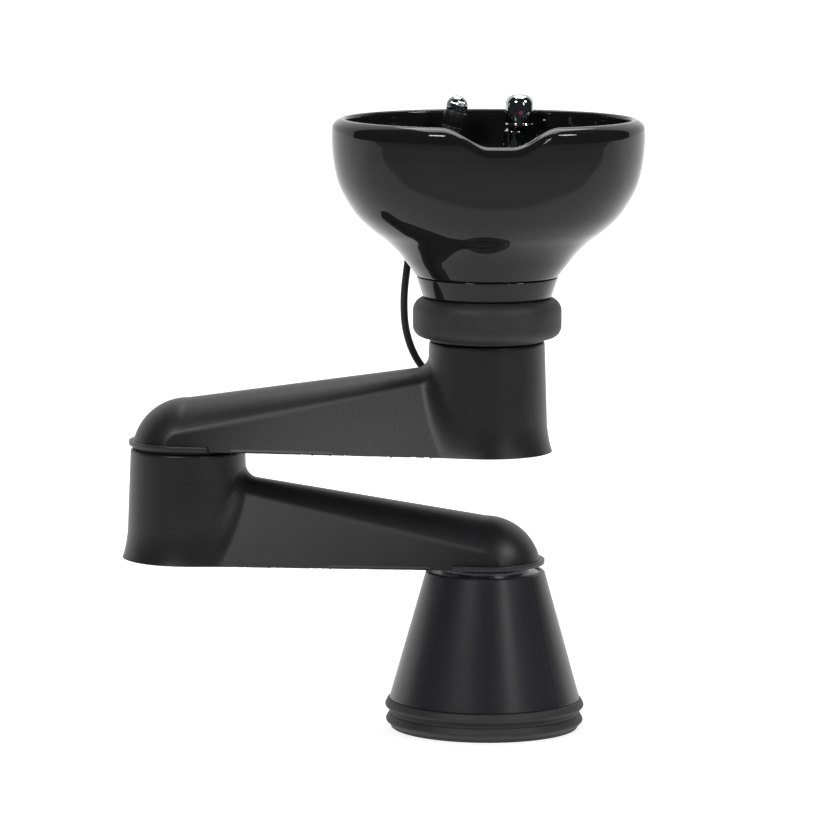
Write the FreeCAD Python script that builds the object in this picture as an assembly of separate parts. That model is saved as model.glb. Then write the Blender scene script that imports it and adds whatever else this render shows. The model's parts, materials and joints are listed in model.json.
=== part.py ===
import FreeCAD, Part
import math
import os
from FreeCAD import Vector

# Shampoo backwash unit: a ceramic bowl on a double swing arm and a telescopic foot.
# Frame: origin on the floor at the base axis, +Z up, the neck notch of the bowl faces -Y.

# Levels and pivots
lower_level = 268.0        # bottom of the lower arm
arm_pitch = 184.0          # from one pivot level to the next
arm_length = 486.0         # between the two pivots of one arm
arm_rest_angle = 169.3     # direction of the lower arm at rest, degrees about Z
tilt_level = 668.0         # axis of the tilt hinge
bowl_bottom = 735.0
upper_level = lower_level + arm_pitch
bowl_level = upper_level + arm_pitch

# Base and lift
plate_radius = 145.0
plate_thickness = 10.0
anchor_circle = 120.0      # radius of the circle of anchor holes
anchor_hole = 6.5
column_outer = 78.0
column_inner = 72.0
column_top = 170.0
lift_outer = 66.0
lift_inner = 60.0
lift_bottom = 40.0
bellows_height = 48.0
bellows_waist = 153.0
bellows_inner = 147.0
bellows_folds = [(3.0, 160.5, 13.0, 23.0), (26.0, 161.5, 37.0, 48.0)]  # start, crest radius, crest, end
flange_wide = 90.5
cone_bottom = 154.0
cone_top = 95.0
cone_height = 208.0
cover_wall = 4.0

# Arm mouldings, heights above the arm's bottom
wall = 3.5
cap_side = 92.0            # half width at the bottom of the cap end
cap_crease = 80.0          # half width at the crease of the cap end
cap_crease_height = 30.0
cap_height = 77.0
root_side = 102.0          # the same four at the turret
root_crease = 38.0
root_crease_height = 134.0
root_height = 149.0
turret_radius = 92.0      # at the top, with a moulding draft to the foot
turret_foot = 102.5
turret_top = 178.0
trim_height = 8.0
trim_outer = 96.5
trim_inner = 88.5
trim_reach = 45.0

# Pivots: hollow spindles that let the hoses through
bore = 36.0
journal = 46.0
hub_bore = 51.0
hub_outer = 60.0
running = 0.05
spindle_flange = 70.0
seal_inner = 80.0
seal_outer = 85.0
flange_low = -14.0
flange_high = -8.0
lift_top = lower_level + flange_low

# Hoses
drain_radius = 11.0
supply_radius = 5.0
supply_spread = 20.0
shower_radius = 6.0

# Bowl: level, half width, half depth
bowl_sections = [
    (735.0, 113.5, 113.3), (754.0, 128.0, 125.0), (773.0, 143.0, 137.0), (793.0, 164.0, 154.0),
    (812.0, 189.0, 174.0), (831.0, 209.0, 190.0), (851.0, 223.5, 201.0), (880.0, 239.0, 211.0),
    (909.0, 247.0, 216.0), (947.0, 252.0, 219.0), (970.0, 252.5, 219.0), (989.0, 249.0, 216.0)]
ceramic = 12.0
deck_level = 913.0
upper_cavity = [(913.0, 222.0, 186.0, 0.0), (950.0, 230.0, 195.0, 0.0), (991.0, 229.0, 196.0, 0.0)]
basin = [
    (780.0, 46.0, 45.0, 0.0), (786.0, 64.0, 58.0, -6.0), (805.0, 130.0, 100.0, -18.0),
    (840.0, 184.0, 130.0, -31.0), (880.0, 210.0, 143.0, -37.0), (915.0, 218.0, 147.0, -38.0)]
notch_radius = 128.0
notch_level = 959.0
deck_y = 147.0
mixer_x = 57.0
mixer_radius = 17.6
mixer_pivot = 982.0        # level of the lever's pin
handle_shift = 8.0         # the handle sits off the cartridge's axis, towards +X
handle_radius = 23.5
handle_bottom = 967.0
handle_top = 1016.0
handset_x = -58.3
handset_lean = 14.0        # degrees, the head leans towards +X
head_radius = 17.5
head_centre = 1001.0       # along the leaning axis

# Hand shower hose: a free loop behind the pivot column
hose_route = [
    (-112.0, 130.0, 788.0), (-119.0, 127.0, 738.0), (-125.0, 124.0, 686.0),
    (-122.0, 121.0, 630.0), (-101.0, 119.0, 578.0), (-58.0, 118.0, 538.0),
    (-4.0, 118.0, 526.0), (48.0, 120.0, 543.0), (83.0, 123.0, 585.0),
    (97.0, 126.0, 637.0), (98.0, 130.0, 690.0), (94.0, 134.0, 740.0), (93.0, 135.0, 788.0)]

centre = Vector(0, 0, 0)
up = Vector(0, 0, 1)
elbow = Vector(arm_length * math.cos(math.radians(arm_rest_angle)),
               arm_length * math.sin(math.radians(arm_rest_angle)), 0)


def cylinder(radius, low, high, x=0.0, y=0.0):
    return Part.makeCylinder(radius, high - low, Vector(x, y, low))


def tube(outer, inner, low, high, x=0.0, y=0.0):
    return cylinder(outer, low, high, x, y).cut(cylinder(inner, low - 1, high + 1, x, y))


def block(x0, x1, y0, y1, z0, z1):
    return Part.makeBox(x1 - x0, y1 - y0, z1 - z0, Vector(x0, y0, z0))


def turned(points):
    """A solid turned about Z from a closed outline of (radius, height) points."""
    outline = [Vector(r, 0, z) for r, z in points]
    face = Part.Face(Part.makePolygon(outline + outline[:1]))
    return face.revolve(centre, up, 360)


def turned_edges(edges):
    return Part.Face(Part.Wire(edges)).revolve(centre, up, 360)


def line(a, b):
    return Part.LineSegment(Vector(a[0], 0, a[1]), Vector(b[0], 0, b[1])).toShape()


def arc(a, middle, b):
    ends = [Vector(p[0], 0, p[1]) for p in (a, middle, b)]
    return Part.Arc(*ends).toShape()


def around(shape, count, start=0.0):
    """Equal copies of a shape round the Z axis."""
    return [shape.rotated(centre, up, start + 360.0 * i / count) for i in range(count)]


def joined(shapes):
    return shapes[0].fuse(shapes[1:]).removeSplitter()


def save(name, shape):
    shape.exportStep("parts/" + name + ".step")


def placed(shape, at, level, angle):
    moved = shape.rotated(centre, up, angle)
    moved.translate(Vector(at.x, at.y, level))
    return moved


def rounded_path(points, fixed_radius=None):
    """Straight runs joined by tangent arcs, and the radii of the arcs."""
    points = [Vector(*p) for p in points]
    edges = []
    radii = []
    start = points[0]
    for before, corner, after in zip(points, points[1:], points[2:]):
        back = (before - corner).normalize()
        ahead = (after - corner).normalize()
        half_turn = (math.pi - back.getAngle(ahead)) / 2
        shorter = min((before - corner).Length, (after - corner).Length)
        radius = fixed_radius or 0.45 * shorter / math.tan(half_turn)
        reach = radius * math.tan(half_turn)
        to_centre = (back + ahead).normalize() * (radius / math.cos(half_turn))
        middle = corner + to_centre - (back + ahead).normalize() * radius
        entry = corner + back * reach
        leave = corner + ahead * reach
        edges.append(Part.LineSegment(start, entry).toShape())
        edges.append(Part.Arc(entry, middle, leave).toShape())
        radii.append(radius)
        start = leave
    edges.append(Part.LineSegment(start, points[-1]).toShape())
    return Part.Wire(edges), radii


def hose(points, radius, fixed_radius=None):
    path, radii = rounded_path(points, fixed_radius)
    direction = Vector(*points[1]) - Vector(*points[0])
    section = Part.Wire(Part.makeCircle(radius, Vector(*points[0]), direction))
    return path.makePipeShell([section], True, False), path.Length, radii


def lofted(sections, grow=0.0):
    """A smooth loft through level ellipses of (level, half width, half depth, centre y)."""
    wires = []
    for level, wide, deep, shift in sections:
        oval = Part.Ellipse(Vector(0, shift, level), wide + grow, deep + grow)
        wires.append(Part.Wire(oval.toShape()))
    return Part.makeLoft(wires, True, False)


# ---- Base ----

def floor_plate():
    plate = cylinder(plate_radius, 0, plate_thickness)
    for hole in around(cylinder(anchor_hole, -1, plate_thickness + 1, anchor_circle), 4, 45):
        plate = plate.cut(hole)
    plate = plate.cut(cylinder(24.5, -1, 11))
    for x in (-30, 30):
        plate = plate.cut(cylinder(12.5, -1, 11, x, 36))
    return plate


def fixed_column():
    pipe = tube(column_outer, column_inner, plate_thickness, column_top)
    fin = Part.makePolygon([Vector(77, -4, 10), Vector(108, -4, 10), Vector(77, -4, 60), Vector(77, -4, 10)])
    gusset = Part.Face(fin).extrude(Vector(0, 8, 0)).cut(cylinder(77.9, 0, 80))
    return joined([pipe] + around(gusset, 4))


def guide_bushes():
    low = tube(column_inner, lift_outer + running, 60, 85)
    high = tube(column_inner, lift_outer + running, 140, 168)
    lip = tube(77, lift_outer + running, 170, 174)
    return [low, joined([high, tube(column_inner, lift_outer + running, 167, 170), lip])]


def lift_cylinder():
    body = cylinder(13, 14, 110, 0, -42)
    foot = cylinder(17, plate_thickness, 14, 0, -42)
    return body.fuse(foot).cut(cylinder(5.5, 30, 111, 0, -42))


def waste_socket():
    outline = [(20.1, 0), (24, 0), (24, 120), (17.6, 120), (17.6, 52), (20.1, 50)]
    return turned(outline)


def inlet(x):
    body = cylinder(12, 1, 30, x, 36)
    return body.cut(cylinder(8.3, 0, 15, x, 36)).cut(cylinder(4, 14, 31, x, 36))


def base_supply_hoses():
    return [tube(supply_radius, 3.5, 30, 232, x, 36) for x in (-30, 30)]


def bellows():
    """Rubber folds: a plain foot and two rounded rings with a waist between them."""
    foot = bellows_waist - 2
    edges = [line((bellows_inner, 0), (foot, 0))]
    last = (foot, 0)
    for start, crest_radius, crest, end in bellows_folds:
        edges.append(line(last, (bellows_waist, start)))
        edges.append(arc((bellows_waist, start), (crest_radius, crest), (bellows_waist, end)))
        last = (bellows_waist, end)
    edges.append(line(last, (bellows_inner, bellows_height)))
    edges.append(line((bellows_inner, bellows_height), (bellows_inner, 0)))
    return turned_edges(edges)


# ---- Lift ----

def lift_tube():
    low = lift_top - 10
    step = lift_top - 2
    pipe = tube(lift_outer, lift_inner, lift_bottom, low)
    flange = tube(flange_wide, bore, low, step).fuse(tube(88, bore, step, lift_top))
    shelf = block(-16, 16, -56, -36, low - 4, low)
    return joined([pipe, flange, shelf]).cut(cover_screws())


def lift_rod():
    return cylinder(5, 36, lift_top - 14, 0, -42)


def waste_drop_pipe():
    pipe = tube(17, 14.5, 60, 222)
    funnel = turned([(14.5, 222), (33, 238), (33, 240), (35, 240), (35, 237), (17, 222)])
    return pipe.fuse(funnel)


def base_cover():
    """Conical cover in two halves, with a narrow top ring that hides the bearing."""
    low = bellows_height + 0.4
    high = low + cone_height
    outer = turned([(0, low), (cone_bottom, low), (cone_top + 1.5, high - 2), (cone_top - 1, high), (0, high)])
    inner = turned([(0, low - 1), (cone_bottom - cover_wall, low - 1),
                    (cone_top - cover_wall, high - cover_wall), (0, high - cover_wall)])
    shell = outer.cut(inner).cut(cylinder(89, 0, 400)).cut(cover_screws())
    seam = 0.3
    front = block(-200, 200, -200, -seam, 0, 400).rotated(centre, up, -45)
    rear = block(-200, 200, seam, 200, 0, 400).rotated(centre, up, -45)
    return shell.common(front), shell.common(rear)


def cover_hoop():
    """Ring inside the bottom of the conical cover that joins its two halves."""
    return turned([(142, 56), (147.2, 56), (143, 71), (138, 71)]).cut(cover_screws())


def cover_screws():
    """Screws beside the seams: the low ones hold the hoop, the high ones the lift flange."""
    screws = []
    cone_normal = Vector(1, 0, 0.285)
    for angle in (-45, 135):
        for side in (-7, 7):
            for start, level, length in ((142.6, 66, 6), (85.6, lift_top - 6.6, 12)):
                screw = Part.makeCylinder(3, length, Vector(start, 0, level), cone_normal)
                screws.append(screw.rotated(centre, up, angle + side * 100 / start))
    return screws


# ---- Pivots ----

def spindle(shoulder, top):
    outline = [(bore, flange_low), (spindle_flange, flange_low), (spindle_flange, flange_high),
               (54, flange_high), (54, shoulder), (journal, shoulder), (journal, top), (bore, top)]
    return turned(outline)


def spindle_nut(low, high):
    ring = tube(56, journal, low, high)
    slot = block(50, 60, -4, 4, low - 1, high + 1)
    for cutter in around(slot, 4):
        ring = ring.cut(cutter)
    return ring


def hub_bushes(low, high):
    """Two flanged bushes pressed in a hub that runs from low to high."""
    inner = journal + running
    flange = 3.0
    bottom = [(inner, low - flange), (56, low - flange), (56, low), (hub_bore, low),
              (hub_bore, low + 11), (inner, low + 11)]
    top = [(inner, high - 11), (hub_bore, high - 11), (hub_bore, high), (56, high),
           (56, high + flange), (inner, high + flange)]
    return [turned(bottom), turned(top)]


# ---- Arm, modelled with its own pivot at the origin and the turret along +X ----

def arm_section(x, inset):
    share = x / arm_length
    side = cap_side + (root_side - cap_side) * share - inset
    crease = cap_crease + (root_crease - cap_crease) * share - inset
    level = cap_crease_height + (root_crease_height - cap_crease_height) * share
    height = cap_height + (root_height - cap_height) * share - inset
    return side, crease, level, height


def section_wire(x, inset, low):
    side, crease, level, height = arm_section(x, inset)
    corners = [Vector(x, -crease, level), Vector(x, -side, low), Vector(x, side, low), Vector(x, crease, level)]
    edges = [Part.LineSegment(a, b).toShape() for a, b in zip(corners, corners[1:])]
    edges.append(Part.Arc(corners[3], Vector(x, 0, height), corners[0]).toShape())
    return Part.Wire(edges)


def arm_cap(inset, low):
    side, crease, level, height = arm_section(0, inset)
    drop = height - level
    radius = (crease * crease + drop * drop) / (2 * drop)
    half_angle = math.asin(crease / radius) / 2
    middle = (radius * math.sin(half_angle), height - radius + radius * math.cos(half_angle))
    edges = [line((0, low), (side, low)), line((side, low), (crease, level)),
             arc((crease, level), middle, (0, height)), line((0, height), (0, low))]
    face = Part.Face(Part.Wire(edges)).rotated(centre, up, 90)
    return face.revolve(centre, up, 180)


def turret(inset, low):
    top = turret_top - inset
    edges = [line((0, low), (turret_foot - inset, low)),
             line((turret_foot - inset, low), (turret_radius - inset, top - 4)),
             line((turret_radius - inset, top - 4), (turret_radius - inset - 4, top)),
             line((turret_radius - inset - 4, top), (0, top)),
             line((0, top), (0, low))]
    solid = turned_edges(edges)
    solid.translate(Vector(arm_length, 0, 0))
    return solid


def arm_volume(inset, low):
    beam = Part.makeLoft([section_wire(0, inset, low), section_wire(arm_length, inset, low)], True, True)
    return joined([beam, arm_cap(inset, low), turret(inset, low)])


def trim_ring(outer, inner, low, high):
    plan = tube(outer, inner, low, high)
    back = plan.common(block(-120, 0, -120, 120, low, high))
    arms = [block(0, trim_reach, s * (outer + inner) / 2 - (outer - inner) / 2,
                  s * (outer + inner) / 2 + (outer - inner) / 2, low, high) for s in (-1, 1)]
    return joined([back] + arms)


def arm_cover(outer, inner):
    shell = outer.cut(inner)
    shell = shell.cut(trim_ring(trim_outer + 3, trim_inner - 0.1, -1, trim_height + 0.1))
    return shell.cut(cylinder(72, 160, turret_top + 10, arm_length))


def arm_bottom_cover(inner):
    plate = inner.common(block(-200, 700, -200, 200, 2, 5))
    plate = plate.cut(cylinder(57, 0, 10)).cut(tube(120, trim_inner - 0.5, 0, 10))
    plate = plate.fuse(block(60, trim_reach + 50, -80, 80, 2, 5))
    for x, y in arm_screw_places():
        plate = plate.cut(cylinder(2.2, 0, 10, x, y))
    return plate


def arm_screw_places():
    return [(95, -60), (95, 60), (250, -70), (250, 70), (400, -70), (400, 70)]


def arm_screws():
    return [cylinder(4, 0.4, 2, x, y).fuse(cylinder(2, 2, 11, x, y)) for x, y in arm_screw_places()]


def arm_frame():
    """Welded frame: hub, box beam with screw tabs, turret pillar with its top flange."""
    hub = tube(hub_outer, hub_bore, 8, 36)
    beam = block(57, arm_length - 52, -35, 35, 9, 41).cut(block(50, arm_length - 45, -30, 30, 13, 37))
    beam = beam.cut(cylinder(hub_outer - 0.5, 0, 60))
    flange_seat = arm_pitch + flange_low
    pillar = tube(60, 54, 8, flange_seat - 10, arm_length)
    window = block(arm_length - 70, arm_length - 30, -30, 30, 45, 84)
    flange = tube(82, bore, flange_seat - 10, flange_seat, arm_length)
    tabs = [block(x - 7, x + 7, min(y, 0.5 * y), max(y, 0.5 * y), 9, 12).fuse(cylinder(7, 9, 12, x, y))
            for x, y in arm_screw_places()]
    frame = joined([hub, beam, pillar, flange] + tabs).cut(window)
    for x, y in arm_screw_places():
        frame = frame.cut(cylinder(2.0, 8, 11, x, y))
    return frame


def arm_seal(height):
    return tube(seal_outer, seal_inner, turret_top, turret_top + height, arm_length)


def arm_hose(radius, inner, y):
    drop = 14.0
    run = 58.0
    reach = arm_length + drop
    points = [(-drop, y, 0.5), (-drop, y, run), (reach, y, run), (reach, y, arm_pitch - 1)]
    outside = hose(points, radius, 40)[0]
    inside = hose(points, inner, 40)[0]
    return outside.cut(inside)


def arm_hoses():
    supply = [arm_hose(supply_radius, 3.5, y) for y in (-supply_spread, supply_spread)]
    return [arm_hose(drain_radius, drain_radius - 2, 0)] + supply


def save_arm(name, at, level, angle, seal_height):
    outer = arm_volume(0, 0)
    inner = arm_volume(wall, -1)
    pieces = {
        "cover": arm_cover(outer, inner),
        "bottom_cover": arm_bottom_cover(arm_volume(wall + 0.3, -1)),
        "trim": trim_ring(trim_outer, trim_inner, 0, trim_height),
        "frame": arm_frame(),
        "screws": Part.makeCompound(arm_screws()),
        "bushes": Part.makeCompound(hub_bushes(8, 36)),
        "seal": arm_seal(seal_height),
        "hoses": Part.makeCompound(arm_hoses()),
    }
    for piece, shape in pieces.items():
        save(name + "_" + piece, placed(shape, at, level, angle))


# ---- Bowl head ----

def turntable():
    disc = tube(93, hub_bore, -4, 4).fuse(tube(hub_outer, hub_bore, 4, 22))
    lugs = []
    for side in (-1, 1):
        middle = side * 67.0
        cheek = block(middle - 5, middle + 5, -16, 16, 3, tilt_level - bowl_level)
        head = Part.makeCylinder(16, 10, Vector(middle - 5, 0, tilt_level - bowl_level), Vector(1, 0, 0))
        hole = Part.makeCylinder(6, 20, Vector(middle - 10, 0, tilt_level - bowl_level), Vector(1, 0, 0))
        lugs.append(cheek.fuse(head).cut(hole).cut(cylinder(hub_bore + 0.5, 0, 60)))
    return placed(joined([disc] + lugs), centre, bowl_level, 0)


def tilt_pins():
    pins = []
    for side in (-1, 1):
        pin = Part.makeCylinder(6, 26, Vector(side * 61, 0, tilt_level), Vector(side, 0, 0))
        head = Part.makeCylinder(9, 3, Vector(side * 58.5, 0, tilt_level), Vector(side, 0, 0))
        pins.append(pin.fuse(head))
    return pins


def rubber_collar():
    """Bulging sleeve between the turntable and the skirt, open inside."""
    low = bowl_level + 0.3
    high = 701.4
    middle = (low + high) / 2
    edges = [arc((95, low), (119.5, middle), (105, high)),
             line((105, high), (101, high)),
             arc((101, high), (115.5, middle), (94.5, low + 4)),
             line((94.5, low + 4), (94.5, low)),
             line((94.5, low), (95, low))]
    return turned_edges(edges)


def bowl_support():
    """Turned cup with a bottom plate, a top flange and the two lugs of the tilt hinge."""
    outline = [(50, 694), (98, 694), (98, bowl_bottom), (68, bowl_bottom), (68, 729), (92, 729), (92, 700), (50, 700)]
    cup = turned(outline)
    for hole in around(cylinder(4.3, 728, 736, 84), 4, 45):
        cup = cup.cut(hole)
    lugs = []
    for side in (-1, 1):
        middle = side * 78.5
        cheek = block(middle - 5, middle + 5, -16, 16, tilt_level, 695)
        head = Part.makeCylinder(14, 10, Vector(middle - 5, 0, tilt_level), Vector(1, 0, 0))
        hole = Part.makeCylinder(6 + running, 20, Vector(middle - 10, 0, tilt_level), Vector(1, 0, 0))
        lugs.append(cheek.fuse(head).cut(hole))
    return joined([cup] + lugs)


def bowl_bolts():
    bolt = cylinder(6.5, 723, 729, 84).fuse(cylinder(4, 729, 745, 84))
    return around(bolt, 4, 45)


def bowl_skirt():
    return turned([(98.3, 702), (103.5, 702), (113.5, 734.8), (108.5, 734.8), (98.3, 706)])


def gland_places():
    return [hose_route[0], hose_route[-1]]


def bowl():
    """Glazed ceramic body: outer form, upper cavity, basin, rear deck and underside spaces."""
    outside = lofted([s + (0.0,) for s in bowl_sections])
    inset = [(z, a, b, 0.0) for z, a, b in bowl_sections if z < deck_level]
    inset.append((deck_level - ceramic, 246.0, 215.0, 0.0))
    inset.sort()
    inside = lofted(inset, -ceramic)
    pool = lofted(basin)
    body = outside.cut(lofted(upper_cavity)).cut(pool)
    under_deck = block(-150, 150, 98, 215, 786, deck_level - ceramic)
    passage = block(-58, 58, 30, 150, 742, 766)
    rear_passage = block(-75, 75, 88, 150, 742, 800)
    hollow = joined([under_deck, passage, rear_passage]).common(inside).cut(lofted(basin[1:], ceramic))
    body = body.cut(hollow)
    body = body.cut(cylinder(68, 730, 762)).cut(cylinder(20.2, 760, 790))
    body = body.cut(block(-50, 50, 114, 175, 752, 850).common(outside))
    for hole in around(cylinder(4.2, 734, 747, 84), 4, 45):
        body = body.cut(hole)
    for x, y, z in gland_places():
        body = body.cut(cylinder(10.5, z - 30, z + 60, x, y))
    body = body.cut(cylinder(14, 890, 920, mixer_x, deck_y))
    body = body.cut(cylinder(21, 890, 920, handset_x, deck_y))
    notch_centre = Vector(0, -300, notch_level + notch_radius)
    notch = Part.makeCylinder(notch_radius, 160, notch_centre, Vector(0, 1, -0.12))
    return body.cut(notch)


def waste_fitting():
    flange = turned([(16, 780.1), (16, 716), (20, 716), (20, 780.1), (40, 780.1), (38, 783), (20, 784), (17, 780.1)])
    nut = tube(30, 20, 754, 761.9)
    return flange.fuse(nut)


def bowl_drain_hose():
    return tube(23, 20, 670, 750)


def hair_strainer():
    cup = cylinder(15.5, 768, 785).cut(cylinder(14, 770, 786))
    rim = tube(19, 14, 784, 786)
    knob = cylinder(2.5, 769, 790).fuse(cylinder(5, 788, 792))
    body = joined([cup, rim, knob])
    for hole in around(cylinder(1.6, 760, 775, 9), 8):
        body = body.cut(hole)
    return body


def mixer_body():
    shoulder = 955.0
    base = cylinder(24, deck_level, 918, mixer_x, deck_y)
    column = cylinder(mixer_radius, 918, shoulder, mixer_x, deck_y)
    neck = Part.makeCone(mixer_radius, 11, 8, Vector(mixer_x, deck_y, shoulder))
    shank = cylinder(13, 880, deck_level, mixer_x, deck_y)
    return joined([base, column, neck, shank]).cut(cylinder(8 + running, 938, 970, mixer_x, deck_y))


def mixer_nut():
    return tube(24, 13, 893, deck_level - ceramic, mixer_x, deck_y)


def mixer_tails():
    """Two braided tails: down behind the basin, under it and down through the support."""
    tails = []
    for side in (-1, 1):
        high = mixer_x + 6 * side
        low = 36 + 7 * side
        points = [(high, deck_y, 878), (high, 118, 800), (low, 95, 754), (low, 30, 754), (low - 6, 16, 700)]
        tails.append(hose(points, supply_radius, 14)[0])
    return tails


def cross_pin(radius, half_length):
    across = Vector(mixer_x + handle_shift - half_length, deck_y, mixer_pivot)
    return Part.makeCylinder(radius, 2 * half_length, across, Vector(1, 0, 0))


def mixer_stem():
    ball = Part.makeSphere(11, Vector(mixer_x, deck_y, mixer_pivot))
    stem = cylinder(8, 940, 976, mixer_x, deck_y)
    return ball.fuse(stem).cut(cross_pin(2 + running, 30))


def mixer_handle():
    """Thimble-shaped lever with a rounded top and a small flare at its bottom edge."""
    outside = cylinder(handle_radius, handle_bottom, handle_top)
    top_edge = [e for e in outside.Edges if abs(e.CenterOfMass.z - handle_top) < 0.01]
    outside = outside.makeFillet(16, top_edge)
    flare = Part.makeCone(handle_radius + 1.2, handle_radius, 3, Vector(0, 0, handle_bottom))
    hollow = cylinder(21, handle_bottom - 1, 993).fuse(Part.makeCone(21, 8, 12, Vector(0, 0, 993)))
    shape = outside.fuse(flare).cut(hollow)
    shape.translate(Vector(mixer_x + handle_shift, deck_y, 0))
    return shape.cut(cross_pin(2, 30)).cut(mixer_mark())


def mixer_mark():
    front = Vector(mixer_x + handle_shift, deck_y - handle_radius + 1.4, 988)
    return Part.makeCylinder(3.4, 2.0, front, Vector(0, -1, 0))


def leaning(shape):
    tilted = shape.rotated(Vector(0, 0, deck_level), Vector(0, 1, 0), handset_lean)
    tilted.translate(Vector(handset_x, deck_y, 0))
    return tilted


def handset_holder():
    flange = cylinder(24, deck_level, deck_level + 4, handset_x, deck_y)
    return flange.fuse(leaning(cylinder(16, 897, 966))).cut(leaning(cylinder(13.6, 880, 980)))


def handset():
    """Round spray head on a flared collar and a handle that stands in the holder."""
    handle = turned([(0, 905), (9, 905), (12.8, 925), (12.8, 968), (17, 976), (18, 990), (0, 990)])
    head = Part.makeSphere(head_radius, Vector(0, 0, head_centre))
    face_seat = cylinder(12, 1013.5, 1030)
    return leaning(handle.fuse(head).cut(face_seat))


def handset_face():
    return leaning(cylinder(11.8, 1013.5, 1016))


def hose_glands():
    glands = []
    for x, y, z in gland_places():
        glands.append(tube(10.5, shower_radius, z, z + 50, x, y))
    return glands


def main():
    os.makedirs("parts", exist_ok=True)
    save("floor_plate", floor_plate())
    save("fixed_column", fixed_column())
    save("column_guide_bushes", Part.makeCompound(guide_bushes()))
    save("lift_cylinder", lift_cylinder())
    save("waste_socket", waste_socket())
    save("water_inlets", Part.makeCompound([inlet(-30), inlet(30)]))
    save("base_supply_hoses", Part.makeCompound(base_supply_hoses()))
    save("base_bellows", bellows())

    front, rear = base_cover()
    save("lift_tube", lift_tube())
    save("lift_rod", lift_rod())
    save("base_cover_front", front)
    save("base_cover_rear", rear)
    save("base_cover_hoop", cover_hoop())
    save("base_cover_screws", Part.makeCompound(cover_screws()))
    save("waste_drop_pipe", waste_drop_pipe())

    save_arm("lower_arm", centre, lower_level, arm_rest_angle, 5.4)
    save_arm("upper_arm", elbow, upper_level, arm_rest_angle + 180, 1.7)
    for name, at, level in (("base", centre, lower_level), ("elbow", elbow, upper_level)):
        save(name + "_spindle", placed(spindle(4.7, 46.5), at, level, 0))
        save(name + "_spindle_nut", placed(spindle_nut(39.3, 45.5), at, level, 0))
    save("bowl_spindle", placed(spindle(-7.3, 32), centre, bowl_level, 0))
    save("bowl_spindle_nut", placed(spindle_nut(25.3, 31), centre, bowl_level, 0))

    save("turntable", turntable())
    save("turntable_bushes", placed(Part.makeCompound(hub_bushes(-4, 22)), centre, bowl_level, 0))
    save("tilt_pins", Part.makeCompound(tilt_pins()))
    save("rubber_collar", rubber_collar())
    save("bowl_support", bowl_support())
    save("bowl_bolts", Part.makeCompound(bowl_bolts()))
    save("bowl_skirt", bowl_skirt())
    save("bowl", bowl())
    save("waste_fitting", waste_fitting())
    save("bowl_drain_hose", bowl_drain_hose())
    save("hair_strainer", hair_strainer())
    save("mixer_body", Part.makeCompound([mixer_body(), mixer_nut()]))
    save("mixer_tails", Part.makeCompound(mixer_tails()))
    save("mixer_stem", mixer_stem())
    save("mixer_pin", cross_pin(2, 22.5))
    save("mixer_handle", mixer_handle())
    save("mixer_mark", mixer_mark())
    save("handset_holder", handset_holder())
    save("handset", handset())
    save("handset_face", handset_face())
    save("hose_glands", Part.makeCompound(hose_glands()))

    shower_hose, length, radii = hose(hose_route, shower_radius)
    save("shower_hose", shower_hose)
    ratio = shower_hose.Volume / (math.pi * shower_radius ** 2 * length)
    print("shower hose length %.1f mm, volume ratio %.4f" % (length, ratio))
    print("radii " + ", ".join("%.0f" % r for r in radii))


main()
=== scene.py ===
import json
import math
import bmesh
import bpy
import numpy as np
import openvdb
from mathutils import Matrix, Vector

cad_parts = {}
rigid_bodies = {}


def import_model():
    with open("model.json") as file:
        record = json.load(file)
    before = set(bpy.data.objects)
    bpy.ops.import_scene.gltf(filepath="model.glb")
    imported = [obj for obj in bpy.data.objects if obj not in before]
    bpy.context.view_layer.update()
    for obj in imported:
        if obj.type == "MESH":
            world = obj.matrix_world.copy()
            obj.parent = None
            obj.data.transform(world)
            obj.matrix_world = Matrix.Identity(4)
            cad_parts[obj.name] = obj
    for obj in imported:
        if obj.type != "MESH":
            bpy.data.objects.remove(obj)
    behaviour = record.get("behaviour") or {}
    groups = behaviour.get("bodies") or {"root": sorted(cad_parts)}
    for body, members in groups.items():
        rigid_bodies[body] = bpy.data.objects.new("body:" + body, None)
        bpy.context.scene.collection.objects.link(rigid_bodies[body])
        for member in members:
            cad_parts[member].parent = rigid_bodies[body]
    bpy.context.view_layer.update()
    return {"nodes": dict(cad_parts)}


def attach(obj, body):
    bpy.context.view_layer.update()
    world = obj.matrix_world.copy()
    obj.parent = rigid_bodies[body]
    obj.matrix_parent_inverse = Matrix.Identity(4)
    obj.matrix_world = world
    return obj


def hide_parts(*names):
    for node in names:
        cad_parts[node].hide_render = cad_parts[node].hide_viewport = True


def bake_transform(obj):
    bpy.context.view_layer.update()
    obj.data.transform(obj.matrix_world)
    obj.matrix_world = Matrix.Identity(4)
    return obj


for leftover in list(bpy.data.objects):
    bpy.data.objects.remove(leftover)

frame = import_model()
print("frame loaded")

# The view: a long lens from a little above the bowl, turned a few degrees to the left
viewPoint = {
    "place": (-0.8939, -8.9555, 1.7), "target": (-0.1067, 0.0106, 0.5004), "roll": 0.33,
    "lens": 241.07, "sensor": 36, "clipEnd": 60,
}


def addCamera():
    cameraData = bpy.data.cameras.new("studioCamera")
    cameraData.lens = viewPoint["lens"]
    cameraData.sensor_width = viewPoint["sensor"]
    cameraData.clip_end = viewPoint["clipEnd"]
    camera = bpy.data.objects.new("studioCamera", cameraData)
    bpy.context.scene.collection.objects.link(camera)
    look = Vector(viewPoint["target"]) - Vector(viewPoint["place"])
    turn = look.to_track_quat("-Z", "Y").to_matrix().to_4x4()
    roll = Matrix.Rotation(math.radians(viewPoint["roll"]), 4, "Z")
    camera.matrix_world = Matrix.Translation(viewPoint["place"]) @ turn @ roll
    bpy.context.scene.camera = camera


addCamera()
print("camera placed")


def newObject(name, data):
    piece = bpy.data.objects.new(name, data)
    bpy.context.scene.collection.objects.link(piece)
    return piece


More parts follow.
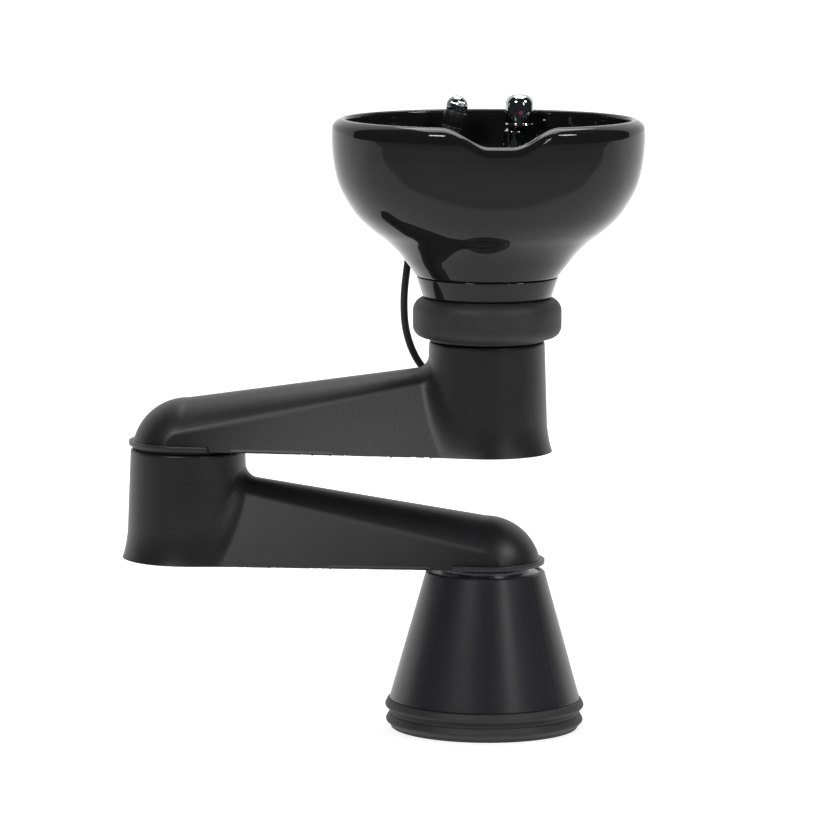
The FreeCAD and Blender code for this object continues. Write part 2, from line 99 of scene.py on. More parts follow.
def hexLinear(code):
    values = [int(code[i:i + 2], 16) / 255 for i in (1, 3, 5)]
    linear = [v / 12.92 if v <= 0.04045 else ((v + 0.055) / 1.055) ** 2.4 for v in values]
    return (*linear, 1.0)


def addNode(tree, kind, settings=(), values=(), links=(), stops=()):
    node = tree.nodes.new(kind)
    for name, value in dict(settings).items():
        setattr(node, name, value)
    for name, value in dict(values).items():
        node.inputs[name].default_value = value
    for name, source in dict(links).items():
        tree.links.new(source, node.inputs[name])
    for i, (place, colour) in enumerate(stops):
        stop = node.color_ramp.elements[i] if i < 2 else node.color_ramp.elements.new(place)
        stop.position = place
        stop.color = colour
    return node


def newMaterial(name, values):
    material = bpy.data.materials.new(name)
    material.use_nodes = True
    tree = material.node_tree
    shader = tree.nodes["Principled BSDF"]
    for socket, value in values.items():
        shader.inputs[socket].default_value = value
    place = addNode(tree, "ShaderNodeTexCoord").outputs["Object"]
    return material, tree, shader, place


def perMetre(millimetres):
    return 1000.0 / millimetres


# Polyurethane skin, moulded in a grained tool: a soft leathery grain that breaks up the sheen
skinLook = {"colour": "#18181a", "worn": "#1e1e20", "roughness": 0.4, "grain": 2.6, "grainDepth": 0.16,
            "fineShare": 0.6, "cloud": 90}    # the real grain is finer, and is drawn coarser so that it shows


def mouldedPolyurethane():
    material, tree, shader, place = newMaterial("mouldedPolyurethane",
                                                {"Roughness": skinLook["roughness"], "IOR": 1.4})
    cloud = addNode(tree, "ShaderNodeTexNoise", values={"Scale": perMetre(skinLook["cloud"]), "Detail": 4},
                    links={"Vector": place})
    tone = addNode(tree, "ShaderNodeValToRGB", links={"Fac": cloud.outputs["Fac"]},
                   stops=((0.35, hexLinear(skinLook["colour"])), (0.7, hexLinear(skinLook["worn"]))))
    tree.links.new(tone.outputs["Color"], shader.inputs["Base Color"])
    pits = addNode(tree, "ShaderNodeTexVoronoi", values={"Scale": perMetre(skinLook["grain"])},
                   links={"Vector": place})
    fine = addNode(tree, "ShaderNodeTexNoise", links={"Vector": place},
                   values={"Scale": perMetre(skinLook["grain"] * skinLook["fineShare"]), "Detail": 3})
    height = addNode(tree, "ShaderNodeMath", {"operation": "ADD"},
                     links={0: pits.outputs["Distance"], 1: fine.outputs["Fac"]})
    bump = addNode(tree, "ShaderNodeBump", links={"Height": height.outputs[0]},
                   values={"Strength": 0.5, "Distance": skinLook["grainDepth"] / 1000})
    tree.links.new(bump.outputs["Normal"], shader.inputs["Normal"])
    return material


# ABS, vacuum formed and sprayed satin black: smooth, with a broad soft highlight
satinLook = {"colour": "#1c1c1f", "roughness": 0.34, "smear": 60, "peel": 7, "peelDepth": 0.012}


def satinBlackAbs():
    material, tree, shader, place = newMaterial("satinBlackAbs",
                                                {"Base Color": hexLinear(satinLook["colour"]), "IOR": 1.5})
    smear = addNode(tree, "ShaderNodeTexNoise", links={"Vector": place},
                    values={"Scale": perMetre(satinLook["smear"]), "Detail": 5})
    roughness = satinLook["roughness"]
    gloss = addNode(tree, "ShaderNodeMapRange", links={"Value": smear.outputs["Fac"]},
                    values={"To Min": roughness - 0.03, "To Max": roughness + 0.05})
    tree.links.new(gloss.outputs["Result"], shader.inputs["Roughness"])
    peel = addNode(tree, "ShaderNodeTexNoise", links={"Vector": place},
                   values={"Scale": perMetre(satinLook["peel"])})
    bump = addNode(tree, "ShaderNodeBump", links={"Height": peel.outputs["Fac"]},
                   values={"Strength": 0.4, "Distance": satinLook["peelDepth"] / 1000})
    tree.links.new(bump.outputs["Normal"], shader.inputs["Normal"])
    return material


# EPDM rubber, moulded: matt, a little dusty
rubberLook = {"colour": "#1a1a1b", "dust": "#242425", "roughness": 0.6, "patch": 45, "grain": 1.8,
              "grainDepth": 0.04}


def mouldedRubber():
    material, tree, shader, place = newMaterial("mouldedRubber",
                                                {"Roughness": rubberLook["roughness"], "IOR": 1.52})
    dust = addNode(tree, "ShaderNodeTexNoise", links={"Vector": place},
                   values={"Scale": perMetre(rubberLook["patch"]), "Detail": 6})
    tone = addNode(tree, "ShaderNodeValToRGB", links={"Fac": dust.outputs["Fac"]},
                   stops=((0.4, hexLinear(rubberLook["colour"])), (0.75, hexLinear(rubberLook["dust"]))))
    tree.links.new(tone.outputs["Color"], shader.inputs["Base Color"])
    grain = addNode(tree, "ShaderNodeTexNoise", values={"Scale": perMetre(rubberLook["grain"]), "Detail": 2},
                    links={"Vector": place})
    bump = addNode(tree, "ShaderNodeBump", links={"Height": grain.outputs["Fac"]},
                   values={"Strength": 0.5, "Distance": rubberLook["grainDepth"] / 1000})
    tree.links.new(bump.outputs["Normal"], shader.inputs["Normal"])
    return material


# Stoneware with a black fired glaze: a deep mirror, with the slow ripple that a glaze pools into
glazeLook = {"colour": "#1a1a1a", "roughness": 0.03, "ior": 1.37, "ripple": 70, "rippleDepth": 0.1}


def firedBlackGlaze():
    material, tree, shader, place = newMaterial(
        "firedBlackGlaze", {"Base Color": hexLinear(glazeLook["colour"]), "IOR": glazeLook["ior"]})
    pool = addNode(tree, "ShaderNodeTexNoise", links={"Vector": place},
                   values={"Scale": perMetre(glazeLook["ripple"]), "Detail": 1})
    roughness = glazeLook["roughness"]
    gloss = addNode(tree, "ShaderNodeMapRange", links={"Value": pool.outputs["Fac"]},
                    values={"To Min": roughness * 0.6, "To Max": roughness * 1.6})
    tree.links.new(gloss.outputs["Result"], shader.inputs["Roughness"])
    bump = addNode(tree, "ShaderNodeBump", links={"Height": pool.outputs["Fac"]},
                   values={"Strength": 0.6, "Distance": glazeLook["rippleDepth"] / 1000})
    tree.links.new(bump.outputs["Normal"], shader.inputs["Normal"])
    return material


# Brass, polished and chromed: a cold clear mirror, a little uneven from the polishing
chromeLook = {"colour": "#b4b7bb", "roughness": 0.05, "polish": 8}


def polishedChrome():
    material, tree, shader, place = newMaterial(
        "polishedChrome", {"Base Color": hexLinear(chromeLook["colour"]), "Metallic": 1.0})
    marks = addNode(tree, "ShaderNodeTexNoise", links={"Vector": place},
                    values={"Scale": perMetre(chromeLook["polish"]), "Detail": 3})
    roughness = chromeLook["roughness"]
    gloss = addNode(tree, "ShaderNodeMapRange", links={"Value": marks.outputs["Fac"]},
                    values={"To Min": roughness * 0.5, "To Max": roughness * 1.6})
    tree.links.new(gloss.outputs["Result"], shader.inputs["Roughness"])
    return material


# The plainer finishes: colour, second colour, roughness, metallic, grain and its depth in mm
plainLooks = {
    "powderCoatedSteel": ("#2c2c2e", "#343437", 0.5, 0.0, 1.6, 0.05),
    "zincPlatedSteel": ("#9a9ca1", "#b4b6ba", 0.32, 1.0, 4.0, 0.02),
    "machinedBrass": ("#b08a4c", "#c49d5c", 0.28, 1.0, 1.2, 0.02),
    "whiteAcetal": ("#d9d8d3", "#e4e3de", 0.42, 0.0, 3.0, 0.02),
    "blackNylon": ("#171718", "#1e1e20", 0.4, 0.0, 1.5, 0.04),
    "greyPvcHose": ("#77787b", "#838488", 0.45, 0.0, 5.0, 0.05),
}


def plainFinish(name):
    dark, light, roughness, metallic, grain, depth = plainLooks[name]
    material, tree, shader, place = newMaterial(name, {"Roughness": roughness, "Metallic": metallic})
    spread = addNode(tree, "ShaderNodeTexNoise", values={"Scale": perMetre(grain), "Detail": 4},
                     links={"Vector": place})
    tone = addNode(tree, "ShaderNodeValToRGB", links={"Fac": spread.outputs["Fac"]},
                   stops=((0.3, hexLinear(dark)), (0.7, hexLinear(light))))
    tree.links.new(tone.outputs["Color"], shader.inputs["Base Color"])
    bump = addNode(tree, "ShaderNodeBump", values={"Strength": 0.5, "Distance": depth / 1000},
                   links={"Height": spread.outputs["Fac"]})
    tree.links.new(bump.outputs["Normal"], shader.inputs["Normal"])
    return material


# Two-colour enamel dot on the lever: red for hot on the left, blue for cold on the right
enamelLook = {"hot": "#c2262e", "cold": "#2d5c9c", "split": 65.0}


def enamelDot():
    material, tree, shader, place = newMaterial("enamelDot", {"Roughness": 0.2, "Coat Weight": 0.5})
    across = addNode(tree, "ShaderNodeSeparateXYZ", links={"Vector": place})
    side = addNode(tree, "ShaderNodeMath", {"operation": "GREATER_THAN"}, {1: enamelLook["split"] / 1000},
                   {0: across.outputs["X"]})
    tone = addNode(tree, "ShaderNodeValToRGB", links={"Fac": side.outputs[0]},
                   stops=((0.0, hexLinear(enamelLook["hot"])), (1.0, hexLinear(enamelLook["cold"]))))
    tree.links.new(tone.outputs["Color"], shader.inputs["Base Color"])
    return material


finishes = {
    "moulded_charcoal": mouldedPolyurethane(),
    "satin_black_cover": satinBlackAbs(),
    "black_rubber": mouldedRubber(),
    "black_glaze": firedBlackGlaze(),
    "chrome": polishedChrome(),
    "satin_steel": plainFinish("powderCoatedSteel"),
    "zinc_steel": plainFinish("zincPlatedSteel"),
    "brass": plainFinish("machinedBrass"),
    "white_plastic": plainFinish("whiteAcetal"),
    "black_plastic": plainFinish("blackNylon"),
    "grey_hose": plainFinish("greyPvcHose"),
    "index_mark": enamelDot(),
}
for node in frame["nodes"].values():
    for materialSlot in node.material_slots:
        materialSlot.material = finishes[materialSlot.material.name]
print("materials made")


def settle(piece, finish, body, *nodes):
    # gives a piece its finish, the body that it moves with and the CAD nodes that it stands for
    piece.data.materials.append(finishes[finish])
    if nodes:
        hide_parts(*nodes)
    if body:
        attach(piece, body)
    return piece


# Hand shower hose: a loop behind the pivot column, from one gland of the bowl to the other
hoseSize = {
    "radius": 6, "length": 0.638,
    "route": ((-112, 130, 788), (-119, 127, 738), (-125, 124, 686), (-122, 121, 630), (-101, 119, 578),
              (-58, 118, 538), (-4, 118, 526), (48, 120, 543), (83, 123, 585), (97, 126, 637),
              (98, 130, 690), (94, 134, 740), (93, 135, 788)),
}


def showerHose():
    curve = bpy.data.curves.new("showerHose", "CURVE")
    curve.dimensions = "3D"
    curve.bevel_depth = hoseSize["radius"] / 1000
    curve.bevel_resolution = 6
    curve.resolution_u = 16
    curve.use_fill_caps = True
    spline = curve.splines.new("NURBS")
    spline.points.add(len(hoseSize["route"]) - 1)
    for point, place in zip(spline.points, hoseSize["route"]):
        point.co = (*(v / 1000 for v in place), 1)
    spline.order_u = 3
    spline.use_endpoint_u = True
    hose = settle(newObject("showerHose", curve), "black_rubber", "bowl_head", "shower_hose")


showerHose()
print("hose laid")


def filletedOutline(corners):
    # corners are (radius, level, fillet) in mm, and each fillet becomes an arc
    outline = []
    for i, (radius, level, fillet) in enumerate(corners):
        corner = Vector((radius, level))
        if not fillet:
            outline.append(corner)
            continue
        back = (Vector(corners[i - 1][:2]) - corner).normalized()
        ahead = (Vector(corners[(i + 1) % len(corners)][:2]) - corner).normalized()
        half = back.angle(ahead) / 2
        middle = corner + (back + ahead).normalized() * fillet / math.sin(half)
        first = corner + back * fillet / math.tan(half) - middle
        last = corner + ahead * fillet / math.tan(half) - middle
        swing = math.atan2(first.x * last.y - first.y * last.x, first.dot(last))
        steps = max(3, round(abs(swing) / math.radians(9)))
        for step in range(steps + 1):
            turned = first.copy()
            turned.rotate(Matrix.Rotation(swing * step / steps, 2))
            outline.append(middle + turned)
    return outline


def turnedPiece(name, corners, sides=144, ribs=None):
    # ribs are (count, depth, from level, to level): fine flutes along the outline
    outline = np.array([tuple(p) for p in filletedOutline(corners)]) / 1000
    angles = np.arange(sides) * 2 * math.pi / sides
    radii = np.repeat(outline[:, :1], sides, 1)
    levels = np.repeat(outline[:, 1:], sides, 1)
    if ribs:
        count, depth, low, high = ribs
        fluted = (levels > low / 1000) & (levels < high / 1000)
        radii = radii - fluted * (depth / 2000) * (1 - np.cos(angles * count))[None, :]
    points = np.stack([radii * np.cos(angles), radii * np.sin(angles), levels], -1).reshape(-1, 3)
    rows = len(outline)
    quads = []
    for row in range(rows):
        after = (row + 1) % rows
        for side in range(sides):
            beside = (side + 1) % sides
            here, there = row * sides, after * sides
            quads.append((here + side, here + beside, there + beside, there + side))
    mesh = bpy.data.meshes.new(name)
    mesh.from_pydata(points.tolist(), [], quads)
    shape = bmesh.new()
    shape.from_mesh(mesh)
    bmesh.ops.remove_doubles(shape, verts=shape.verts, dist=1e-6)
    bmesh.ops.recalc_face_normals(shape, faces=shape.faces)
    shape.to_mesh(mesh)
    shape.free()
    smoothShade(mesh)
    return newObject(name, mesh)


def smoothShade(mesh, sharpAngle=40):
    mesh.shade_smooth()
    mesh.set_sharp_from_angle(angle=math.radians(sharpAngle))


# Fields are rough distances in mm, below zero inside the material
def roundedCut(a, b, radius):
    # what is inside both, with the edge rounded
    outsideBoth = np.hypot(np.maximum(a + radius, 0), np.maximum(b + radius, 0))
    return np.minimum(np.maximum(a, b), -radius) + outsideBoth


def filletedJoin(a, b, radius):
    # what is inside either, with the inner corner filled
    insideBoth = np.hypot(np.maximum(radius - a, 0), np.maximum(radius - b, 0))
    return np.maximum(np.minimum(a, b), radius) - insideBoth


def eased(value, start, end):
    t = np.clip((value - start) / (end - start), 0, 1)
    return t * t * (3 - 2 * t)


drawing = {"passes": 4, "nudge": 0.05, "flattest": 0.05}


def fieldMesh(name, field, low, high, voxel):
    # the surface where the field is zero, with each vertex drawn onto it
    axes = [np.arange(a, b + voxel, voxel) for a, b in zip(low, high)]
    values = field(*np.meshgrid(*axes, indexing="ij"))
    grid = openvdb.FloatGrid()
    grid.copyFromArray(values.astype(np.float32))
    points, quads = grid.convertToQuads()
    points = points * voxel + np.array(low)
    for drawPass in range(drawing["passes"]):
        here = field(*points.T)
        slope = []
        for axis in range(3):
            nudge = np.zeros(3)
            nudge[axis] = drawing["nudge"]
            change = field(*(points + nudge).T) - field(*(points - nudge).T)
            slope.append(change / (2 * drawing["nudge"]))
        slope = np.array(slope).T
        step = here / np.maximum((slope ** 2).sum(1), drawing["flattest"])
        points = points - slope * np.clip(step, -voxel, voxel)[:, None]
    first, second, fourth = (points[quads[:, i]] for i in (0, 1, 3))
    facing = (np.cross(second - first, fourth - first) * slope[quads[:, 0]]).sum(1)
    if facing.mean() < 0:
        quads = quads[:, ::-1]
    mesh = bpy.data.meshes.new(name)
    mesh.from_pydata((points / 1000).tolist(), [], quads.tolist())
    return mesh


# Swing arm cover: domed cap over the pivot, a creased tapering beam and a turret that carries the next level
armSize = {
    "length": 486, "wall": 3.5, "restAngle": 169.3, "levels": (268, 452),
    "capSide": 85, "capCrease": 79.5, "capCreaseLevel": 30, "capTop": 77,
    "rootSide": 100, "rootCrease": 40, "rootCreaseLevel": 134, "rootTop": 149, "creaseEdge": 1.2,
    "turretRadius": 93, "turretDraft": 6.5, "turretFlare": 2.5, "flareHeight": 9,
    "turretTop": 178, "turretEdge": 4, "turretHole": 72, "fillet": 18,
    "voxel": 2.0, "low": (-100, -112, -7), "high": (596, 112, 184),
}
trimSize = {"middle": 90.5, "width": 11, "height": 8, "reach": 45, "overlap": 3, "edge": 1.4, "voxel": 1.3,
            "low": (-102, -102, -3), "high": (55, 102, 11)}


def armField(x, y, z):
    a = armSize
    share = np.clip(x / a["length"], 0, 1)
    past = np.hypot(np.maximum(x - a["length"], 0), y)
    across = np.hypot(np.minimum(x, 0), past)
    side = a["capSide"] + (a["rootSide"] - a["capSide"]) * share
    crease = a["capCrease"] + (a["rootCrease"] - a["capCrease"]) * share
    level = a["capCreaseLevel"] + (a["rootCreaseLevel"] - a["capCreaseLevel"]) * share
    top = a["capTop"] + (a["rootTop"] - a["capTop"]) * share
    drop = top - level
    crown = (crease ** 2 + drop ** 2) / (2 * drop)
    centreLevel = top - crown
    dome = np.hypot(across, z - centreLevel) - crown
    below = ((across - crease) * crease + (z - level) * (level - centreLevel)) / crown
    dome = np.where((z < level) & (x > 0), below, dome)
    lean = (side - crease) / level
    flank = (past - side + lean * z) / np.sqrt(1 + lean ** 2)
    beam = roundedCut(dome, flank, a["creaseEdge"])
    fromTurret = np.hypot(x - a["length"], y)
    turretSide = a["turretRadius"] + a["turretDraft"] * (1 - z / a["turretTop"])
    turretSide = turretSide + a["turretFlare"] * np.exp(-np.maximum(z, -8) / a["flareHeight"])
    turret = roundedCut(fromTurret - turretSide, z - a["turretTop"], a["turretEdge"])
    return filletedJoin(beam, turret, a["fillet"])


def trimField(x, y, z):
    t = trimSize
    plan = np.where(x < 0, np.hypot(x, y), np.abs(y)) - t["middle"]
    half = t["height"] / 2
    strip = roundedCut(np.abs(plan) - t["width"] / 2, np.abs(z - half) - half, t["edge"])
    return np.maximum(strip, np.hypot(np.maximum(x - t["reach"] + half, 0), z - half) - half)


def armCoverMesh(name):
    a = armSize
    mesh = fieldMesh(name, armField, a["low"], a["high"], a["voxel"])
    shape = bmesh.new()
    shape.from_mesh(mesh)
    # the bottom edge is level, and steps up over the trim strip
    reach = (trimSize["reach"] - trimSize["overlap"]) / 1000
    step = (trimSize["height"] + 0.1) / 1000
    everything = shape.verts[:] + shape.edges[:] + shape.faces[:]
    bmesh.ops.bisect_plane(shape, geom=everything, plane_co=(reach, 0, 0), plane_no=(1, 0, 0))
    for level, overTrim in ((0, False), (step, True)):
        faces = [f for f in shape.faces if (f.calc_center_median().x < reach) == overTrim]
        geom = faces + list({e for f in faces for e in f.edges}) + list({v for f in faces for v in f.verts})
        bmesh.ops.bisect_plane(shape, geom=geom, plane_co=(0, 0, level), plane_no=(0, 0, 1),
                               clear_inner=True)
    # the round hole in the turret's top
    centre = Vector((a["length"] / 1000, 0, 0))
    hole = a["turretHole"] / 1000
    nearTop = (a["turretTop"] - 8) / 1000
    inside = [v for v in shape.verts if v.co.z > nearTop and (v.co.xy - centre.xy).length < hole]
    bmesh.ops.delete(shape, geom=inside, context="VERTS")
    for edge in shape.edges:
        if edge.is_boundary and edge.verts[0].co.z > nearTop:
            for vertex in edge.verts:
                offset = (vertex.co - centre).xy
                vertex.co.xy = centre.xy + offset.normalized() * hole
    shape.to_mesh(mesh)
    shape.free()
    return mesh


def swingArm(name, body, place, angle, level):
    turn = Matrix.Translation((*place, level / 1000)) @ Matrix.Rotation(math.radians(angle), 4, "Z")
    cover = newObject(name + "CoverSkin", armCoverMesh(name + "CoverSkin"))
    thicken = cover.modifiers.new("wall", "SOLIDIFY")
    thicken.thickness = armSize["wall"] / 1000
    thicken.offset = -1
    cover.data = bpy.data.meshes.new_from_object(cover.evaluated_get(bpy.context.evaluated_depsgraph_get()))
    cover.modifiers.clear()
    cover.data.transform(turn)
    smoothShade(cover.data, 50)
    settle(cover, "moulded_charcoal", body, body + "_cover")
    t = trimSize
    strip = fieldMesh(name + "TrimStrip", trimField, t["low"], t["high"], t["voxel"])
    trim = newObject(name + "TrimStrip", strip)
    trim.data.transform(turn)
    smoothShade(trim.data, 60)
    settle(trim, "black_plastic", body, body + "_trim")


restAngle = math.radians(armSize["restAngle"])
elbow = (armSize["length"] / 1000 * math.cos(restAngle), armSize["length"] / 1000 * math.sin(restAngle))
swingArm("lowerArm", "lower_arm", (0, 0), armSize["restAngle"], armSize["levels"][0])
swingArm("upperArm", "upper_arm", elbow, armSize["restAngle"] + 180, armSize["levels"][1])
print("arm covers made")


# Bowl: outer form by level (level, half width, half depth), cavity, basin and the neck notch
bowlSize = {
    "bottom": 735, "rim": 989, "voxel": 3.0, "rimEdge": 13, "innerEdge": 6, "footEdge": 2.5,
    "outside": ((735, 113.5, 113.3), (754, 128, 125), (773, 143, 137), (793, 164, 154), (812, 189, 174),
                (831, 209, 190), (851, 223.5, 201), (880, 239, 211), (909, 247, 216), (947, 251.5, 218.5),
                (965, 252, 218.8), (978, 250.5, 217.3), (989, 245.5, 212.5)),
    "cavity": ((913, 222, 186), (950, 230, 195), (991, 229, 196)), "deck": 913, "deckFillet": 22,
    "basin": ((780, 46, 45), (786, 64, 58), (805, 130, 100), (840, 184, 130), (880, 210, 143),
              (915, 218, 147)),
    "basinShift": ((780, 0), (786, -6), (805, -18), (840, -31), (880, -37), (915, -38)), "basinEdge": 14,
    "notchDepth": 30, "notchFlat": 18, "notchWide": 94, "notchReach": (-120, -40), "lipEdge": 15,
    "wall": 12, "drainHole": 20.2, "drainTop": 790, "footHole": 68, "footTop": 762, "holeEdge": 1.5,
    "poolTop": 943, "low": (-262, -230, 728), "high": (262, 230, 998),
    "holes": ((-112, 130, 10.5, 758, 848), (93, 135, 10.5, 758, 848), (57, 147, 14, 890, 960),
              (-61, 147, 21, 890, 940)),
    "service": ((-150, 150, 98, 215, 786, 901), (-58, 58, 30, 150, 742, 766), (-75, 75, 88, 150, 742, 800)),
    "hatch": (-50, 50, 114, 175, 752, 850),
}


def throughLevels(z, table, column):
    # a smooth curve through the sizes listed by level
    levels = np.array([row[0] for row in table], float)
    sizes = np.array([row[column] for row in table], float)
    slopes = np.gradient(sizes, levels)
    z = np.clip(z, levels[0], levels[-1])
    i = np.clip(np.searchsorted(levels, z) - 1, 0, len(levels) - 2)
    span = levels[i + 1] - levels[i]
    t = (z - levels[i]) / span
    rise = sizes[i] * (1 + 2 * t) * (1 - t) ** 2 + sizes[i + 1] * t ** 2 * (3 - 2 * t)
    return rise + span * (slopes[i] * t * (1 - t) ** 2 - slopes[i + 1] * t ** 2 * (1 - t))


def ovalField(x, y, halfWidth, halfDepth):
    reach = np.hypot(x / halfWidth, y / halfDepth)
    pull = np.hypot(x / halfWidth ** 2, y / halfDepth ** 2)
    return (reach - 1) * reach / np.maximum(pull, 1e-6)


def boxField(x, y, z, box):
    x0, x1, y0, y1, z0, z1 = box
    flat = np.maximum(np.abs(x - (x0 + x1) / 2) - (x1 - x0) / 2, np.abs(y - (y0 + y1) / 2) - (y1 - y0) / 2)
    return np.maximum(flat, np.abs(z - (z0 + z1) / 2) - (z1 - z0) / 2)


def bowlField(x, y, z):
    b = bowlSize
    outer = ovalField(x, y, throughLevels(z, b["outside"], 1), throughLevels(z, b["outside"], 2))
    notch = 1 - eased(np.abs(x), b["notchFlat"], b["notchWide"])
    notch = notch * (1 - eased(y, *b["notchReach"]))
    topLevel = b["rim"] - b["notchDepth"] * notch
    body = roundedCut(outer, z - topLevel, b["rimEdge"] + (b["lipEdge"] - b["rimEdge"]) * notch)
    body = roundedCut(body, b["bottom"] - z, b["footEdge"])
    cavity = ovalField(x, y, throughLevels(z, b["cavity"], 1), throughLevels(z, b["cavity"], 2))
    cavity = roundedCut(cavity, b["deck"] - z, b["deckFillet"])
    shift = throughLevels(z, b["basinShift"], 1)
    basin = ovalField(x, y - shift, throughLevels(z, b["basin"], 1), throughLevels(z, b["basin"], 2))
    pool = np.maximum(basin, b["basin"][0][0] - z)
    pool = np.maximum(pool, z - b["poolTop"])
    inside = filletedJoin(cavity, pool, b["basinEdge"])
    body = roundedCut(body, -inside, b["innerEdge"])
    service = np.minimum.reduce([boxField(x, y, z, box) for box in b["service"]])
    service = np.maximum.reduce([service, outer + b["wall"], b["wall"] - basin])
    hollow = np.minimum(service, np.maximum(np.hypot(x, y) - b["footHole"], z - b["footTop"]))
    hollow = np.minimum(hollow, np.maximum(np.hypot(x, y) - b["drainHole"], z - b["drainTop"]))
    hollow = np.minimum(hollow, boxField(x, y, z, b["hatch"]))
    for holeX, holeY, radius, low, high in b["holes"]:
        bore = np.hypot(x - holeX, y - holeY) - radius
        hollow = np.minimum(hollow, np.maximum(bore, np.abs(z - (low + high) / 2) - (high - low) / 2))
    return roundedCut(body, -hollow, b["holeEdge"])


def ceramicBowl():
    mesh = fieldMesh("ceramicBowl", bowlField, bowlSize["low"], bowlSize["high"], bowlSize["voxel"])
    smoothShade(mesh, 60)
    settle(newObject("ceramicBowl", mesh), "black_glaze", "bowl_head", "bowl")


ceramicBowl()
print("bowl glazed")

# Turned pieces, as outlines of (radius, level, fillet) in mm
skirtOutline = ((98.3, 702, 0), (103.5, 702, 2.0), (114.2, 734.6, 1.4), (108.5, 734.8, 0), (98.3, 706, 0))
collarOutline = ((95, 636.3, 0), (119.8, 636.3, 19), (119.8, 700.5, 22), (99, 701.4, 0), (99, 697, 0),
                 (115.5, 697, 18), (115.5, 640.3, 16), (95, 640.3, 0))
bellowsOutline = ((147, 0, 0), (151.5, 0, 2), (152.5, 5, 2), (161.2, 12, 4.5), (155, 22.6, 3), (153, 24, 1.5),
                  (153, 27.5, 2), (162.2, 36, 4.8), (157, 46.5, 4), (152, 48, 0), (147, 48, 0))
mixerOutline = ((0, 880, 0), (13, 880, 0), (13, 913, 0), (24, 913, 0.4), (24, 917.6, 1.6), (17.8, 918.6, 1.2),
                (17.6, 957, 1.5), (11, 963, 0.8), (8.1, 963, 0), (8.1, 938, 0), (0, 938, 0))
leverOutline = ((0, 1016.2, 0), (22.8, 1016.2, 16), (23.5, 970.5, 1.5), (24.9, 968, 0.7), (24.7, 966.8, 0.5),
                (21, 967, 0), (21, 993, 0), (8, 1005, 0), (0, 1005, 0))
holderOutline = ((13.6, 900, 0), (16, 900, 0), (16, 966, 1), (13.6, 966, 0.5))
handleOutline = ((0, 905, 0), (9, 905, 1), (12.8, 925, 4), (12.8, 967, 0), (17, 974, 3), (18.6, 984, 2),
                 (18.4, 990.5, 1.5), (14, 992, 0), (0, 992, 0))
headBall = {"radius": 17.6, "centre": 1000}
ballOutline = ((headBall["radius"] * math.cos(turn * math.pi / 24),
                headBall["centre"] + headBall["radius"] * math.sin(turn * math.pi / 24), 0)
               for turn in range(-7, 12))
headOutline = ((0, 986, 0), *ballOutline, (0, headBall["centre"] + headBall["radius"], 0))
nutOutline = ((13.1, 893, 0), (24, 893, 1), (24, 901, 1), (13.1, 901, 0))
flangeOutline = ((16.2, 913, 0), (24, 913, 0.4), (24, 917, 1.5), (16.2, 917, 0))


def turnedFittings():
    skirt = turnedPiece("glazedSkirt", skirtOutline)
    settle(skirt, "black_glaze", "bowl_head", "bowl_skirt")
    collar = settle(turnedPiece("rubberCollar", collarOutline), "black_rubber", None, "rubber_collar")
    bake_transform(collar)
    bellows = settle(turnedPiece("baseBellows", bellowsOutline, 192), "black_rubber", None, "base_bellows")
    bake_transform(bellows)


turnedFittings()


# Mixer: chromed body with an offset thimble lever
mixerSize = {"place": (57, 147), "leverShift": 8}


def mixerTap():
    x, y = (v / 1000 for v in mixerSize["place"])
    body = turnedPiece("mixerBody", mixerOutline)
    body.data.transform(Matrix.Translation((x, y, 0)))
    settle(body, "chrome", "bowl_head", "mixer_body")
    nut = turnedPiece("mixerNut", nutOutline, 6)
    nut.data.transform(Matrix.Translation((x, y, 0)))
    settle(nut, "brass", "bowl_head")
    lever = turnedPiece("mixerLever", leverOutline)
    lever.data.transform(Matrix.Translation((x + mixerSize["leverShift"] / 1000, y, 0)))
    settle(lever, "chrome", "mixer_lever", "mixer_handle")


mixerTap()


# Hand shower: ribbed chrome head on a black handle that leans in its holder
showerSize = {"place": (-58.3, 147), "deck": 913, "lean": 14, "ribs": (48, 0.35, 993, 1012)}


def handShower():
    x, y = (v / 1000 for v in showerSize["place"])
    deck = Matrix.Translation((0, 0, showerSize["deck"] / 1000))
    lean = Matrix.Translation((x, y, 0)) @ deck @ Matrix.Rotation(math.radians(showerSize["lean"]), 4, "Y")
    lean = lean @ deck.inverted()
    flange = turnedPiece("holderFlange", flangeOutline)
    flange.data.transform(Matrix.Translation((x, y, 0)))
    settle(flange, "chrome", "bowl_head")
    holder = turnedPiece("showerHolder", holderOutline)
    holder.data.transform(lean)
    settle(holder, "black_plastic", "bowl_head", "handset_holder")
    handle = turnedPiece("showerHandle", handleOutline)
    handle.data.transform(lean)
    settle(handle, "black_plastic", "hand_shower", "handset")
    head = turnedPiece("showerHead", headOutline, 240, showerSize["ribs"])
    head.data.transform(lean)
    settle(head, "chrome", "hand_shower", "handset_face")


handShower()
print("fittings turned")


# Studio: white sweep behind, a dim room in front, soft boxes above, a floor that glows round the object
studioSize = {
    "aim": (0, 0, 0.6), "floor": 30, "floorColour": "#a8a8a8", "floorFront": (-1.15, -0.92), "farFloor": (0.2, 1.4),
    "frontGlow": 0.3, "glow": 0.78, "farGlow": 1.1, "sweep": 1.0, "room": 0.03, "sweepEdge": 0.42, "sweepSoft": 0.03,
    "boxes": (("keyBox", (-3.2, -4.0, 4.6), (1.4, 1.4), 170), ("fillBox", (3.9, -2.6, 4.4), (1.2, 1.2), 110),
              ("topBox", (0.2, 0.9, 3.6), (2.2, 2.2), 70), ("stripBox", (1.81, -3.1, 1.9), (0.3, 1.3), 14)),
}


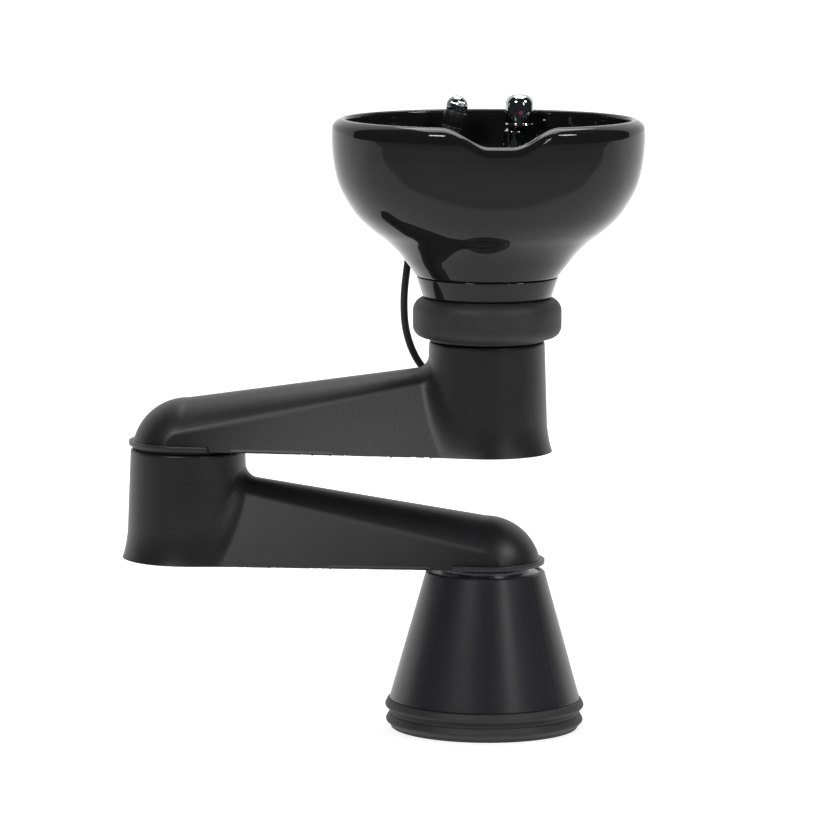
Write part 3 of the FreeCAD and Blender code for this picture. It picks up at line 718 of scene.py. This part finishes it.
def studioWorld():
    world = bpy.data.worlds.new("studio")
    bpy.context.scene.world = world
    world.use_nodes = True
    tree = world.node_tree
    backdrop = tree.nodes["Background"]
    place = addNode(tree, "ShaderNodeTexCoord").outputs["Generated"]
    parts = addNode(tree, "ShaderNodeSeparateXYZ", links={"Vector": place})
    edge, soft = studioSize["sweepEdge"], studioSize["sweepSoft"]
    sweep = addNode(tree, "ShaderNodeMapRange", {"interpolation_type": "SMOOTHSTEP"},
                    {"From Min": edge - soft, "From Max": edge + soft, "To Min": studioSize["room"],
                     "To Max": studioSize["sweep"]}, {"Value": parts.outputs["Y"]})
    seen = addNode(tree, "ShaderNodeLightPath").outputs["Is Camera Ray"]
    tone = addNode(tree, "ShaderNodeMath", {"operation": "MAXIMUM"},
                   links={0: seen, 1: sweep.outputs["Result"]})
    tree.links.new(tone.outputs[0], backdrop.inputs["Color"])


def studioFloor():
    half = studioSize["floor"]
    mesh = bpy.data.meshes.new("studioFloor")
    corners = [(-half, -half, 0), (half, -half, 0), (half, half, 0), (-half, half, 0)]
    mesh.from_pydata(corners, [], [(0, 1, 2, 3)])
    material, tree, shader, place = newMaterial(
        "paintedFloor", {"Base Color": hexLinear(studioSize["floorColour"]), "Roughness": 0.7,
                         "Emission Color": (1, 1, 1, 1)})
    along = addNode(tree, "ShaderNodeSeparateXYZ", links={"Vector": place}).outputs["Y"]
    front, far = studioSize["floorFront"], studioSize["farFloor"]
    lit = addNode(tree, "ShaderNodeMapRange", links={"Value": along},
                  values={"From Min": front[0], "From Max": front[1], "To Min": studioSize["frontGlow"]})
    lit = lit.outputs["Result"]
    glow = addNode(tree, "ShaderNodeMapRange", links={"Value": along},
                   values={"From Min": far[0], "From Max": far[1], "To Min": studioSize["glow"],
                           "To Max": studioSize["farGlow"]})
    glow = addNode(tree, "ShaderNodeMath", {"operation": "MULTIPLY"}, {}, {0: lit, 1: glow.outputs["Result"]})
    tree.links.new(glow.outputs[0], shader.inputs["Emission Strength"])
    mesh.materials.append(material)
    newObject("studioFloor", mesh)


def softBox(name, place, size, watts):
    light = bpy.data.lights.new(name, "AREA")
    light.shape = "RECTANGLE"
    light.size, light.size_y = size
    light.energy = watts
    box = newObject(name, light)
    aim = Vector(studioSize["aim"]) - Vector(place)
    box.matrix_world = Matrix.Translation(place) @ aim.to_track_quat("-Z", "Y").to_matrix().to_4x4()


studioWorld()
studioFloor()
for box in studioSize["boxes"]:
    softBox(*box)
bpy.context.scene.view_settings.view_transform = "Standard"
print("studio lit")
